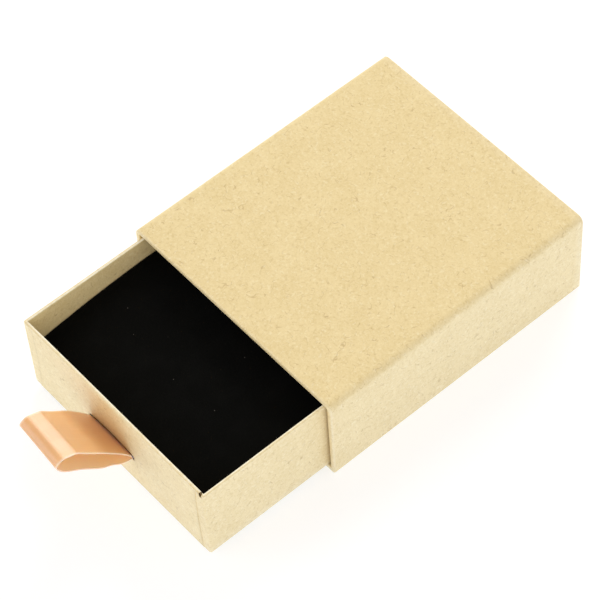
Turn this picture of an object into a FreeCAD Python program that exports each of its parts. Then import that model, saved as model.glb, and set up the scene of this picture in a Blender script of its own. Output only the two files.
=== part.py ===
"""Sliding drawer gift box: a paper-wrapped board sleeve, closed at the back, and a wrapped board
tray with a crowned foam insert and a satin ribbon pull folded through a slit in its front.

Millimetres. The origin is the middle of the sleeve's underside, +X runs across the box, +Y runs
from the open mouth to the closed back and +Z is up. The tray is built partly open, by
TRAY_OPEN_AT_REST. Paper that laps over paper is drawn edge to edge or on top of the sheet below.
"""
import FreeCAD, Part
import math
import os
from FreeCAD import Vector

# Sleeve: overall size, board and paper
SLEEVE_WIDTH = 90.0
SLEEVE_DEPTH = 102.0
SLEEVE_HEIGHT = 35.0
SLEEVE_BOARD = 1.4
SLEEVE_PAPER = 0.15
SLEEVE_TOP_BEND = 2.4
SLEEVE_FOOT_ROUND = 0.8
SLEEVE_TURN_IN = 14.0
SLEEVE_BACK_FOLD = 10.0
BACK_PAPER_INSET = 1.5
BASE_SHEET_MARGIN = 12.0
PAPER_SEAM_GAP = 0.2

# Tray: how it fits in the sleeve, board and paper
TRAY_SIDE_CLEARANCE = 1.2
TRAY_FLOOR_CLEARANCE = 0.3
TRAY_TOP_CLEARANCE = 0.5
TRAY_BACK_CLEARANCE = 0.3
TRAY_OPEN_AT_REST = 45.7
TRAY_BOARD = 0.8
TRAY_PAPER = 0.12
TRAY_CORNER_ROUND = 0.5
TRAY_TURN_IN = 15.0
TRAY_CORNER_TAB = 12.0
END_PAPER_INSET = 3.1
CORNER_NOTCH_WIDTH = 1.1
CORNER_NOTCH_DEPTH = 1.6

# Foam insert with its flocked skin
INSERT_CENTRE_DROP = 8.3
INSERT_END_DROP = 12.3
INSERT_CLEARANCE = 0.05
FLOCK_THICKNESS = 0.5

# Ribbon pull: the slit, the strip and the profile of its loop, out from and up from the slit
RIBBON_WIDTH = 19.5
RIBBON_THICKNESS = 0.35
SLIT_SIDE_CLEARANCE = 0.75
SLIT_HEIGHT = 1.6
SLIT_ABOVE_TRAY_BOTTOM = 12.9
SLIT_OFF_CENTRE = -2.5
RIBBON_ROOT_CLEARANCE = 0.3
RIBBON_TAIL_PROUD = 0.1
LOOP_SHOULDER_OUT = 19.6
LOOP_SHOULDER_UP = 22.9
LOOP_SHOULDER_RADIUS = 3.5
LOOP_TIP_OUT = 25.4
LOOP_TIP_UP = 20.6
LOOP_TIP_RADIUS = 1.0
LOOP_BELLY_OUT = 10.8
LOOP_BELLY_UP = 4.6
LOOP_BELLY_RADIUS = 14.0
LOOP_ROOT_GAP = 0.2
LOOP_ROOT_RADIUS = 0.22
TAIL_LENGTH = 9.0
TAIL_BEND_RADIUS = 0.4
PATCH_OVERLAP = 3.5
PATCH_HEIGHT = 7.0
PATCH_ABOVE_TAIL_END = 0.6

# Places worked out from the sizes above
SLEEVE_HALF = SLEEVE_WIDTH / 2
MOUTH_Y = -SLEEVE_DEPTH / 2
BACK_Y = SLEEVE_DEPTH / 2
BOARD_FRONT_Y = MOUTH_Y + SLEEVE_PAPER
BOARD_BACK_Y = BACK_Y - 2 * SLEEVE_PAPER
BOARD_INNER = SLEEVE_PAPER + SLEEVE_BOARD
SLEEVE_WALL = BOARD_INNER + SLEEVE_PAPER
BACK_BOARD_FRONT_Y = BOARD_BACK_Y - SLEEVE_BOARD
TURN_IN_END_Y = BOARD_FRONT_Y + SLEEVE_TURN_IN

TRAY_HALF = SLEEVE_HALF - SLEEVE_WALL - TRAY_SIDE_CLEARANCE
TRAY_LENGTH = BACK_BOARD_FRONT_Y - TRAY_BACK_CLEARANCE - MOUTH_Y
TRAY_FRONT_Y = MOUTH_Y - TRAY_OPEN_AT_REST
TRAY_BACK_Y = TRAY_FRONT_Y + TRAY_LENGTH
TRAY_MIDDLE_Y = (TRAY_FRONT_Y + TRAY_BACK_Y) / 2
TRAY_BOTTOM_Z = SLEEVE_WALL + TRAY_FLOOR_CLEARANCE
TRAY_RIM_Z = SLEEVE_HEIGHT - SLEEVE_WALL - TRAY_TOP_CLEARANCE

# The tray's boards: one paper lies outside the side walls, two outside the end walls
WALL_X = TRAY_HALF - TRAY_PAPER
WALL_FRONT_Y = TRAY_FRONT_Y + 2 * TRAY_PAPER
WALL_BACK_Y = TRAY_BACK_Y - 2 * TRAY_PAPER
WALL_BOTTOM_Z = TRAY_BOTTOM_Z + TRAY_PAPER
WALL_TOP_Z = TRAY_RIM_Z - TRAY_PAPER
WELL_X = WALL_X - TRAY_BOARD
WELL_FRONT_Y = WALL_FRONT_Y + TRAY_BOARD
WELL_BACK_Y = WALL_BACK_Y - TRAY_BOARD
WELL_FLOOR_Z = WALL_BOTTOM_Z + TRAY_BOARD
LINED_X = WELL_X - TRAY_PAPER
NOTCH_INNER_X = LINED_X - CORNER_NOTCH_WIDTH
PATCH_FACE_Y = WELL_FRONT_Y + 2 * RIBBON_THICKNESS + TRAY_PAPER
SLIT_Z = TRAY_BOTTOM_Z + SLIT_ABOVE_TRAY_BOTTOM
BEYOND = 1.0


def rounded_wire(corners, radii):
    """Closed flat wire through the corners, each one rounded by its own radius (0 is sharp)."""
    edges = []
    ends = []
    count = len(corners)
    for index in range(count):
        corner = corners[index]
        radius = radii[index]
        to_last = (corners[index - 1] - corner).normalize()
        to_next = (corners[(index + 1) % count] - corner).normalize()
        if radius <= 0:
            ends.append((corner, None, corner))
            continue
        half_angle = to_last.getAngle(to_next) / 2
        run = radius / math.tan(half_angle)
        bisector = (to_last + to_next).normalize()
        middle = corner + bisector * (radius / math.sin(half_angle) - radius)
        ends.append((corner + to_last * run, middle, corner + to_next * run))
    for index in range(count):
        start, middle, end = ends[index]
        if middle is not None:
            edges.append(Part.Arc(start, middle, end).toShape())
        following = ends[(index + 1) % count][0]
        if end.distanceToPoint(following) > 1e-6:
            edges.append(Part.makeLine(end, following))
    return Part.Wire(edges)


def extruded(corners, radii, along):
    """Solid made by moving a rounded outline along a vector."""
    return Part.Face(rounded_wire(corners, radii)).extrude(along)


def block(x, y, z):
    """Plain block between the two ends of x, y and z."""
    size = (x[1] - x[0], y[1] - y[0], z[1] - z[0])
    return Part.makeBox(size[0], size[1], size[2], Vector(x[0], y[0], z[0]))


def tunnel_block(half_width, y, z, lower_radius, upper_radius):
    """Block centred on the YZ plane whose lengthwise edges are rounded."""
    corners = [
        Vector(-half_width, y[0], z[0]),
        Vector(half_width, y[0], z[0]),
        Vector(half_width, y[0], z[1]),
        Vector(-half_width, y[0], z[1]),
    ]
    radii = [lower_radius, lower_radius, upper_radius, upper_radius]
    return extruded(corners, radii, Vector(0, y[1] - y[0], 0))


def upright_block(half_width, y, z, radius):
    """Block centred on the YZ plane whose upright edges are rounded."""
    corners = [
        Vector(-half_width, y[0], z[0]),
        Vector(half_width, y[0], z[0]),
        Vector(half_width, y[1], z[0]),
        Vector(-half_width, y[1], z[0]),
    ]
    return extruded(corners, [radius] * 4, Vector(0, 0, z[1] - z[0]))


def both_sides(shape):
    """The shape and its mirror image across the YZ plane."""
    return [shape, shape.mirror(Vector(0, 0, 0), Vector(1, 0, 0))]


def front_and_back(shape):
    """The shape and its mirror image across the middle of the tray's length."""
    return [shape, shape.mirror(Vector(0, TRAY_MIDDLE_Y, 0), Vector(0, 1, 0))]


def joined(shapes):
    """One solid from touching or overlapping shapes, with no seams left on flat faces."""
    return shapes[0].multiFuse(shapes[1:]).removeSplitter()


# Sleeve ---------------------------------------------------------------------------------------

def sleeve_layer(inset, y):
    """The sleeve's outer form, taken in by an inset on its four long sides."""
    return tunnel_block(
        SLEEVE_HALF - inset,
        y,
        (inset, SLEEVE_HEIGHT - inset),
        max(SLEEVE_FOOT_ROUND - inset, 0),
        max(SLEEVE_TOP_BEND - inset, 0),
    )


def sleeve_bent_board():
    """Top and both sides: one board bent over the two upper long edges."""
    length = (BOARD_FRONT_Y, BOARD_BACK_Y)
    hollow = tunnel_block(
        SLEEVE_HALF - BOARD_INNER,
        (length[0] - BEYOND, length[1] + BEYOND),
        (-BEYOND, SLEEVE_HEIGHT - BOARD_INNER),
        0,
        max(SLEEVE_TOP_BEND - BOARD_INNER, 0),
    )
    return sleeve_layer(SLEEVE_PAPER, length).cut(hollow)


def sleeve_floor_board():
    """Flat board glued between the lower edges of the two sides."""
    width = (BOARD_INNER - SLEEVE_HALF, SLEEVE_HALF - BOARD_INNER)
    return block(width, (BOARD_FRONT_Y, BOARD_BACK_Y), (SLEEVE_PAPER, BOARD_INNER))


def sleeve_back_board():
    """Board that closes the back, set inside the bent board and on the floor board."""
    return sleeve_layer(BOARD_INNER, (BACK_BOARD_FRONT_Y, BOARD_BACK_Y))


def sleeve_covering():
    """Paper on all four long sides, round the mouth's edge and turned in inside the mouth."""
    skin_length = (BOARD_FRONT_Y, BOARD_BACK_Y)
    skin = sleeve_layer(0, skin_length).cut(sleeve_layer(SLEEVE_PAPER, skin_length))
    edge_length = (MOUTH_Y, BOARD_FRONT_Y)
    edge = sleeve_layer(0, edge_length).cut(sleeve_layer(SLEEVE_WALL, edge_length))
    turn_length = (BOARD_FRONT_Y, TURN_IN_END_Y)
    turn_in = sleeve_layer(BOARD_INNER, turn_length).cut(sleeve_layer(SLEEVE_WALL, turn_length))
    return joined([skin, edge, turn_in])


def base_zone(half_width):
    """Everything under and just inside the sleeve's floor, to a half width."""
    return block(
        (-half_width, half_width),
        (MOUTH_Y - BEYOND, BACK_Y + BEYOND),
        (-BEYOND, SLEEVE_WALL),
    )


def sleeve_wrap():
    """Outer paper: top, sides, a margin under each side, and a fold onto the back face."""
    fold_length = (BOARD_BACK_Y, BOARD_BACK_Y + SLEEVE_PAPER)
    uncovered = block(
        (SLEEVE_BACK_FOLD - SLEEVE_HALF, SLEEVE_HALF - SLEEVE_BACK_FOLD),
        (BOARD_BACK_Y - BEYOND, BACK_Y + BEYOND),
        (-BEYOND, SLEEVE_HEIGHT - SLEEVE_BACK_FOLD),
    )
    back_fold = sleeve_layer(0, fold_length).cut(uncovered)
    seam_x = SLEEVE_HALF - BASE_SHEET_MARGIN + PAPER_SEAM_GAP / 2
    return joined([sleeve_covering().cut(base_zone(seam_x)), back_fold])


def sleeve_base_sheet():
    """Separate sheet under the floor, turned round its front edge: the box rests on it."""
    seam_x = SLEEVE_HALF - BASE_SHEET_MARGIN - PAPER_SEAM_GAP / 2
    return sleeve_covering().common(base_zone(seam_x))


def sleeve_back_paper():
    """Sheet on the back face, a little smaller than the face, over the wrap's folds."""
    half_width = SLEEVE_HALF - BACK_PAPER_INSET
    height = (BACK_PAPER_INSET, SLEEVE_HEIGHT - BACK_PAPER_INSET)
    sheet = tunnel_block(half_width, (BOARD_BACK_Y, BACK_Y), height, 0, BACK_PAPER_INSET)
    return sheet.cut(sleeve_wrap())


# Tray -----------------------------------------------------------------------------------------

def wall_envelope():
    """Outer form of the tray's five boards together."""
    return upright_block(
        WALL_X,
        (WALL_FRONT_Y, WALL_BACK_Y),
        (WALL_BOTTOM_Z, WALL_TOP_Z),
        max(TRAY_CORNER_ROUND - TRAY_PAPER, 0),
    )


def corner_notch():
    """Gap left at the rim where the papers turned in over an end wall and a side don't meet."""
    notch = block(
        (NOTCH_INNER_X, LINED_X),
        (TRAY_FRONT_Y - BEYOND, WELL_FRONT_Y + TRAY_PAPER + BEYOND),
        (TRAY_RIM_Z - CORNER_NOTCH_DEPTH, TRAY_RIM_Z + BEYOND),
    )
    return Part.makeCompound(front_and_back(Part.makeCompound(both_sides(notch))))


def ribbon_slit():
    """Cut through the front wall and its papers for the ribbon."""
    half_width = RIBBON_WIDTH / 2 + SLIT_SIDE_CLEARANCE
    return block(
        (SLIT_OFF_CENTRE - half_width, SLIT_OFF_CENTRE + half_width),
        (TRAY_FRONT_Y - BEYOND, WELL_FRONT_Y + BEYOND),
        (SLIT_Z - SLIT_HEIGHT / 2, SLIT_Z + SLIT_HEIGHT / 2),
    )


def tray_base_board():
    """Board between the feet of the four walls."""
    return block((-WELL_X, WELL_X), (WELL_FRONT_Y, WELL_BACK_Y), (WALL_BOTTOM_Z, WELL_FLOOR_Z))


def tray_right_wall():
    """Side wall, the full length of the tray, with its outer upright edges rubbed round."""
    zone = block(
        (WELL_X, TRAY_HALF),
        (TRAY_FRONT_Y, TRAY_BACK_Y),
        (TRAY_BOTTOM_Z, TRAY_RIM_Z),
    )
    return wall_envelope().common(zone)


def tray_left_wall():
    """The other side wall."""
    return both_sides(tray_right_wall())[1]


def plain_end_wall():
    """End wall between the two side walls, notched at its upper corners."""
    wall = block((-WELL_X, WELL_X), (WALL_FRONT_Y, WELL_FRONT_Y), (WALL_BOTTOM_Z, WALL_TOP_Z))
    return wall.cut(corner_notch())


def tray_front_wall():
    """Front end wall, slit for the ribbon."""
    return plain_end_wall().cut(ribbon_slit())


def tray_back_wall():
    """Back end wall, whole."""
    return front_and_back(plain_end_wall())[1]


def tray_wrap():
    """Paper under the tray, up both sides, over their rims, and round the corners as tabs."""
    outline_y = (WALL_FRONT_Y - TRAY_PAPER, WALL_BACK_Y + TRAY_PAPER)
    outer = upright_block(TRAY_HALF, outline_y, (TRAY_BOTTOM_Z, WALL_TOP_Z), TRAY_CORNER_ROUND)
    boards = block((-WELL_X, WELL_X), (WELL_FRONT_Y, WELL_BACK_Y), (WALL_BOTTOM_Z, WALL_TOP_Z))
    between_tabs = block(
        (TRAY_CORNER_TAB - TRAY_HALF, TRAY_HALF - TRAY_CORNER_TAB),
        (TRAY_FRONT_Y - BEYOND, TRAY_BACK_Y + BEYOND),
        (WALL_BOTTOM_Z, TRAY_RIM_Z + BEYOND),
    )
    skin = outer.cut(wall_envelope()).cut(boards).cut(between_tabs)
    rim = upright_block(TRAY_HALF, outline_y, (WALL_TOP_Z, TRAY_RIM_Z), TRAY_CORNER_ROUND)
    rim = rim.cut(block((-LINED_X, LINED_X), outline_y, (WALL_TOP_Z, TRAY_RIM_Z)))
    turn_in = block(
        (LINED_X, WELL_X),
        (WELL_FRONT_Y, WELL_BACK_Y),
        (TRAY_RIM_Z - TRAY_TURN_IN, TRAY_RIM_Z),
    )
    return joined([skin, rim] + both_sides(turn_in)).cut(corner_notch())


def plain_end_paper():
    """Sheet on an end wall over the corner tabs, turned in over the rim."""
    face_x = TRAY_HALF - END_PAPER_INSET
    face = block((-face_x, face_x), (TRAY_FRONT_Y, WALL_FRONT_Y), (TRAY_BOTTOM_Z, TRAY_RIM_Z))
    inner_y = WELL_FRONT_Y + TRAY_PAPER
    rim_width = (-NOTCH_INNER_X, NOTCH_INNER_X)
    rim = block(rim_width, (TRAY_FRONT_Y, inner_y), (WALL_TOP_Z, TRAY_RIM_Z))
    turn_in = block(rim_width, (WELL_FRONT_Y, inner_y), (TRAY_RIM_Z - TRAY_TURN_IN, TRAY_RIM_Z))
    return joined([face, rim, turn_in]).cut(tray_wrap())


def tray_front_paper():
    """Front sheet, slit for the ribbon."""
    return plain_end_paper().cut(ribbon_slit())


def tray_back_paper():
    """Back sheet, whole."""
    return front_and_back(plain_end_paper())[1]


# Insert ---------------------------------------------------------------------------------------

def crowned_block(bottom_z, end_z, centre_z):
    """Block that fills the well, with a top that arches from end to end of the tray."""
    front_y = PATCH_FACE_Y + INSERT_CLEARANCE
    back_y = WELL_BACK_Y - TRAY_PAPER - INSERT_CLEARANCE
    side_x = LINED_X - INSERT_CLEARANCE
    front_top = Vector(-side_x, front_y, end_z)
    back_top = Vector(-side_x, back_y, end_z)
    crown = Vector(-side_x, (front_y + back_y) / 2, centre_z)
    front_foot = Vector(-side_x, front_y, bottom_z)
    back_foot = Vector(-side_x, back_y, bottom_z)
    outline = Part.Wire([
        Part.Arc(front_top, crown, back_top).toShape(),
        Part.makeLine(back_top, back_foot),
        Part.makeLine(back_foot, front_foot),
        Part.makeLine(front_foot, front_top),
    ])
    return Part.Face(outline).extrude(Vector(2 * side_x, 0, 0))


def insert_foam():
    """Foam block under the flocked skin."""
    end_z = TRAY_RIM_Z - INSERT_END_DROP - FLOCK_THICKNESS
    centre_z = TRAY_RIM_Z - INSERT_CENTRE_DROP - FLOCK_THICKNESS
    return crowned_block(WELL_FLOOR_Z, end_z, centre_z)


def insert_flock_sheet():
    """Flocked skin on the foam's arched top."""
    end_z = TRAY_RIM_Z - INSERT_END_DROP
    centre_z = TRAY_RIM_Z - INSERT_CENTRE_DROP
    return crowned_block(WELL_FLOOR_Z, end_z, centre_z).cut(insert_foam())


# Ribbon ---------------------------------------------------------------------------------------

def across_ribbon(corners, radii):
    """Profile given as (out from the tray's front, up from the slit), as wide as the ribbon."""
    side_x = SLIT_OFF_CENTRE - RIBBON_WIDTH / 2
    points = [Vector(side_x, TRAY_FRONT_Y - out, SLIT_Z + up) for out, up in corners]
    return extruded(points, radii, Vector(RIBBON_WIDTH, 0, 0))


def loop_outline(offset):
    """Corners and radii of the loop's profile, moved outwards by an offset from its middle."""
    root_out = RIBBON_TAIL_PROUD + RIBBON_ROOT_CLEARANCE + RIBBON_THICKNESS / 2
    root_up = (RIBBON_THICKNESS + LOOP_ROOT_GAP) / 2
    middle = [
        (root_out, -root_up, LOOP_ROOT_RADIUS),
        (root_out, root_up, LOOP_ROOT_RADIUS),
        (LOOP_SHOULDER_OUT, LOOP_SHOULDER_UP, LOOP_SHOULDER_RADIUS),
        (LOOP_TIP_OUT, LOOP_TIP_UP, LOOP_TIP_RADIUS),
        (LOOP_BELLY_OUT, LOOP_BELLY_UP, LOOP_BELLY_RADIUS),
    ]
    corners = []
    radii = []
    for index, (out, up, radius) in enumerate(middle):
        last_out, last_up, _ = middle[index - 1]
        next_out, next_up, _ = middle[(index + 1) % len(middle)]
        arriving = math.atan2(up - last_up, out - last_out)
        leaving = math.atan2(next_up - up, next_out - out)
        turn = (arriving - leaving + math.pi) % (2 * math.pi) - math.pi
        outward = (arriving + leaving) / 2 + math.pi / 2
        if arriving - leaving < 0:
            outward = outward + math.pi
        reach = offset / math.cos(turn / 2)
        corners.append((out + reach * math.cos(outward), up + reach * math.sin(outward)))
        radii.append(radius + offset)
    return corners, radii


def ribbon_loop():
    """Folded satin loop outside the front: up to a soft shoulder, a fold at the tip and back."""
    outer = across_ribbon(*loop_outline(RIBBON_THICKNESS / 2))
    inner = across_ribbon(*loop_outline(-RIBBON_THICKNESS / 2))
    return outer.cut(inner)


def ribbon_tails():
    """Both ends of the ribbon, one on the other, through the slit and down inside the front."""
    wall = WELL_FRONT_Y - TRAY_FRONT_Y
    bend = TAIL_BEND_RADIUS + 2 * RIBBON_THICKNESS
    corners = [
        (RIBBON_TAIL_PROUD, -RIBBON_THICKNESS),
        (RIBBON_TAIL_PROUD, RIBBON_THICKNESS),
        (-wall - 2 * RIBBON_THICKNESS, RIBBON_THICKNESS),
        (-wall - 2 * RIBBON_THICKNESS, -TAIL_LENGTH),
        (-wall, -TAIL_LENGTH),
        (-wall, -RIBBON_THICKNESS),
    ]
    return across_ribbon(corners, [0, 0, bend, 0, 0, 0])


def ribbon_patch():
    """Glued paper patch that holds the tails against the inside of the front wall."""
    half_width = RIBBON_WIDTH / 2 + PATCH_OVERLAP
    lower_z = SLIT_Z - TAIL_LENGTH + PATCH_ABOVE_TAIL_END
    patch = block(
        (SLIT_OFF_CENTRE - half_width, SLIT_OFF_CENTRE + half_width),
        (WELL_FRONT_Y, PATCH_FACE_Y),
        (lower_z, lower_z + PATCH_HEIGHT),
    )
    return patch.cut(ribbon_tails())


NODES = {
    "sleeve_bent_board": sleeve_bent_board,
    "sleeve_floor_board": sleeve_floor_board,
    "sleeve_back_board": sleeve_back_board,
    "sleeve_wrap": sleeve_wrap,
    "sleeve_base_sheet": sleeve_base_sheet,
    "sleeve_back_paper": sleeve_back_paper,
    "tray_base_board": tray_base_board,
    "tray_left_wall": tray_left_wall,
    "tray_right_wall": tray_right_wall,
    "tray_front_wall": tray_front_wall,
    "tray_back_wall": tray_back_wall,
    "tray_wrap": tray_wrap,
    "tray_front_paper": tray_front_paper,
    "tray_back_paper": tray_back_paper,
    "insert_foam": insert_foam,
    "insert_flock_sheet": insert_flock_sheet,
    "ribbon_loop": ribbon_loop,
    "ribbon_tails": ribbon_tails,
    "ribbon_patch": ribbon_patch,
}


def main():
    os.makedirs("parts", exist_ok=True)
    for name, make in NODES.items():
        shape = make()
        box = shape.BoundBox
        print(
            f"{name:20s} solids {len(shape.Solids)} valid {shape.isValid()} "
            f"volume {shape.Volume:9.2f} "
            f"x {box.XMin:.2f}..{box.XMax:.2f} y {box.YMin:.2f}..{box.YMax:.2f} "
            f"z {box.ZMin:.2f}..{box.ZMax:.2f}"
        )
        shape.exportStep(f"parts/{name}.step")


main()
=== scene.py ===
import math
from collections import namedtuple

import bpy
import numpy as np
from mathutils import Matrix, Vector, noise


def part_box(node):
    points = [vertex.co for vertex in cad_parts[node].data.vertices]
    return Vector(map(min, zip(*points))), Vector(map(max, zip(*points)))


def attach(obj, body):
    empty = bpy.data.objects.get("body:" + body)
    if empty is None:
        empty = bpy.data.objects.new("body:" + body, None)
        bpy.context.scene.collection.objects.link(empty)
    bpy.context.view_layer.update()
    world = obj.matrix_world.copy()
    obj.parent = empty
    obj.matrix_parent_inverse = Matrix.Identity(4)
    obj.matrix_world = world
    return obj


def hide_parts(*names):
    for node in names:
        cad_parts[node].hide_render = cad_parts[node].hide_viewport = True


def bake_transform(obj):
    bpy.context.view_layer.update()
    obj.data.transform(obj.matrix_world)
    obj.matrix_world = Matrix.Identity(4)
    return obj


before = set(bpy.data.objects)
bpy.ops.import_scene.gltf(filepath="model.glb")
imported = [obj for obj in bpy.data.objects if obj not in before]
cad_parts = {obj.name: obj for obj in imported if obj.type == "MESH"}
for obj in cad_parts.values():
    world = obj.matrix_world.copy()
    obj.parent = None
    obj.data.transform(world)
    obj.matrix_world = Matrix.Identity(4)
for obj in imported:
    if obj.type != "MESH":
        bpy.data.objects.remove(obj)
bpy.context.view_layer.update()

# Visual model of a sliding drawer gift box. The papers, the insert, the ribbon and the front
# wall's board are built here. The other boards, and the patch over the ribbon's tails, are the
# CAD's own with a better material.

MM = 0.001
X, Y, Z = range(3)

# Camera: where it looks from, round a point on the box, and its lens
CAMERA_AZIMUTH = 52.917
CAMERA_ELEVATION = 54.039
CAMERA_ROLL = 4.706
CAMERA_DISTANCE = 857.72 * MM
CAMERA_TARGET = Vector((-0.664, -24.085, 17.166)) * MM
CAMERA_LENS = 168.76
CAMERA_SENSOR = 36.0
CAMERA_NEAREST = 10 * MM

# Meshes: the longest steps of a grid, the number of steps round a fold or corner, the turn at a
# step that counts as a full fold (radians), the angles from which an edge shows sharp (degrees),
# and what rounding may put a step's share or a length out by
GRID_STEP = 2.5 * MM
FINE_STEP = GRID_STEP / 2
FOLD_STEPS = 4
CORNER_STEPS = 6
TOP_BEND_STEPS = 10
FULL_FOLD_TURN = 0.2
SHARP_ANGLE = 50
PAD_SHARP_ANGLE = 70
RIBBON_SHARP_ANGLE = 80
STEP_TOLERANCE = 1e-6
LENGTH_TOLERANCE = 1e-9

# Paper: its thickness, how tightly it folds over a board's edge, how far its surface waves with
# the waves' seed, and how much paler its outer folds are painted, partly as rubbing and partly as
# a highlight
SLEEVE_PAPER = 0.15 * MM
TRAY_PAPER = 0.12 * MM
MOUTH_FOLD_RADIUS = 0.4 * MM
RIM_FOLD_RADIUS = 0.34 * MM
SHARPEST_RADIUS = 0.03 * MM
FOLD_REACH = 0.45 * MM
PAPER_WAVE = 0.05 * MM
PAPER_WAVE_LENGTH = 30 * MM
PAPER_WAVE_SEED = 1
OUTER_RUB_AND_HIGHLIGHT = 0.15

# Sleeve: its section, where its papers end, and the step of the folds under the back sheet
SLEEVE_TOP_BEND = 2.4 * MM
SLEEVE_FOOT_ROUND = 0.8 * MM
SLEEVE_WALL = 1.7 * MM
SLEEVE_TURN_IN = 14.15 * MM
SLEEVE_BACK_FOLD = 10.0 * MM
SLEEVE_UNDER_STEPS = 5
PAPER_SEAM_GAP = 0.2 * MM
BACK_STEP_WIDTH = 0.6 * MM
BACK_STEP_DEPTH = 0.6 * SLEEVE_PAPER

# Tray: its corners, where its papers end, the gap in its front board, the end sheets' upright
# edges, and the short run before their fold at the rim
TRAY_CORNER_ROUND = 0.5 * MM
TRAY_CORNER_TAB = 12.0 * MM
TRAY_TURN_IN = 15.0 * MM
NOTCH_DEPTH = 1.6 * MM
BOARD_GAP_DEPTH = 5.0 * MM
BOARD_GAP_WIDTH = 3.6 * MM
SEAM_INSET_TOP = 3.6 * MM
SEAM_INSET_FOOT = 3.0 * MM
SEAM_BOW = 0.65 * MM
SEAM_SPREAD_POWER = 9
BEND_LEAD_IN = 0.01 * MM

# Insert: its skin, its soft edges and its unevenness
FLOCK_THICKNESS = 0.5 * MM
PAD_EDGE_RADIUS = 0.8 * MM
PAD_EDGE_ANGLES = (0, 30, 60)
PAD_UNEVEN = 0.12 * MM
PAD_UNEVEN_LENGTH = 14 * MM

# Slit that the ribbon leaves by
SLIT_ABOVE_TRAY_BOTTOM = 12.4 * MM
SLIT_SIDE_CLEARANCE = 0.9 * MM
SLIT_HEIGHT = 2.2 * MM
SLIT_RISE = 1.25 * MM
SLIT_REACH = 7.0 * MM
BOARD_SLIT_DROP = 1.0 * MM

# Ribbon: its thickness, its arch across and where that fades, its woven edges as shares of its
# half width, its mesh's rows as shares of its width, and the points from one of its line's given
# points to the next
RIBBON_THICKNESS = 0.28 * MM
RIBBON_ARCH = 0.5
ARCH_FADE_START = 0.5 * MM
ARCH_FADE_LENGTH = 13 * MM
ARCH_INNER_START = 3 * MM
ARCH_INNER_LENGTH = 1.6 * MM
SELVEDGE_START = 0.93
SELVEDGE_BLEND = 0.03
SELVEDGE_EXTRA = 0.3
RIBBON_EDGE_ROWS = np.array((0, 0.012, 0.03, 0.045))
RIBBON_ROWS = np.linspace(0.07, 0.93, 23)
RIBBON_CURVE_STEPS = 8

# Ribbon in the slit, in its own thicknesses: its lower run above the slit's foot, its upper run
# above the lower one, and its tails behind the wall
LOWER_RUN = 0.55
UPPER_RUN = 1.2
INNER_TAIL = 1.5
OUTER_TAIL = 0.5

# The same in mm: how far in front of the wall's back the runs end, how far behind its face they
# start, how far below the slit the tails begin, and how far above the CAD's they end
RUN_END = 0.1
RUN_START = 0.3
INNER_TAIL_DROP = 1.3
OUTER_TAIL_DROP = 1.6
TAIL_SHORTER = 0.1

# Ribbon's loop seen from the side, out from and up from the slit in mm: each edge's way up to
# the tip and its way back underneath
NEAR_EDGE_UP = [
    (0.3, 0.7), (1.0, 1.8), (3.3, 4.9), (9.6, 12.1), (14.6, 17.3), (16.9, 19.8), (17.6, 20.5),
    (18.3, 20.95), (20.2, 21.75), (21.9, 22.35), (23.3, 22.45), (24.5, 21.9), (25.3, 21.0),
    (25.35, 20.3),
]
NEAR_EDGE_BACK = [
    (24.9, 19.2), (23.0, 16.5), (17.2, 11.6), (10.5, 5.2), (7.0, 3.0), (4.3, 0.7), (1.5, -0.6),
]
FAR_EDGE_UP = [
    (0.3, 0.8), (1.0, 2.0), (3.2, 5.1), (8.2, 11.4), (13.2, 16.2), (15.7, 18.9), (16.4, 19.6),
    (17.1, 20.0), (18.9, 20.8), (20.4, 21.4), (21.7, 21.5), (22.9, 21.0), (23.7, 20.3),
    (23.75, 19.7),
]
FAR_EDGE_BACK = [
    (23.3, 18.5), (21.6, 15.8), (16.4, 11.1), (10.2, 5.4), (6.8, 2.6), (4.2, 0.4), (1.5, -0.6),
]

# Light: the floor's reach, its bounce, the light it gives off onto the box as a glowing panel,
# its look as white with a faint shadow, and the sky with its look where the camera sees it
FLOOR_REACH = 4.0
FLOOR_BOUNCE = (0.86, 0.89, 0.97, 1)
FLOOR_GLOW_ONTO_BOX = (0.29, 0.42, 0.77, 1)
FLOOR_SHADOW = (0.5, 0.5, 0.5, 1)
FLOOR_GLOW = 0.62
SKY_LOW = (0.96, 0.98, 0.97, 1)
SKY_HIGH = (0.475, 0.445, 0.46, 1)
SKY_SEEN = (0.8, 0.8, 0.8, 1)

# Lamps: name, direction from the box, distance and width in metres, radiance and tint
LAMPS = (
    ("key", (-0.468, 0.692, 0.547), 3.0, 1.9, 5.0, (1.0, 0.98, 0.90)),
    ("fill", (0.92, -0.4, 0.4), 2.0, 1.6, 1.0, (1.05, 0.95, 0.82)),
    ("front", (-0.468, -0.735, 0.489), 2.0, 1.4, 1.4, (0.98, 1.0, 1.1)),
)

# Boards that are the CAD's own
CAD_BOARDS = (
    "sleeve_bent_board", "sleeve_floor_board", "sleeve_back_board",
    "tray_base_board", "tray_left_wall", "tray_right_wall", "tray_back_wall",
)


# Numbers --------------------------------------------------------------------------------------

def steps(*stops, longest=GRID_STEP):
    """Numbers through all the stops, evenly spaced between them by the longest step at most."""
    values = [stops[0]]
    for start, end in zip(stops, stops[1:]):
        count = max(1, math.ceil(abs(end - start) / longest - STEP_TOLERANCE))
        values.extend(np.linspace(start, end, count + 1)[1:])
    return values


def middles(values):
    """Halfway between each number and the next."""
    values = np.array(values)
    return (values[1:] + values[:-1]) / 2


def smooth_share(value):
    """0 below 0, 1 above 1 and a smooth step between them."""
    value = np.clip(value, 0.0, 1.0)
    return value * value * (3 - 2 * value)


def unit(vector):
    """The vector at a length of 1."""
    return vector / np.linalg.norm(vector)


# Solids and meshes ----------------------------------------------------------------------------

Solid = namedtuple("Solid", "vertices faces cut fold reverse")


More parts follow.
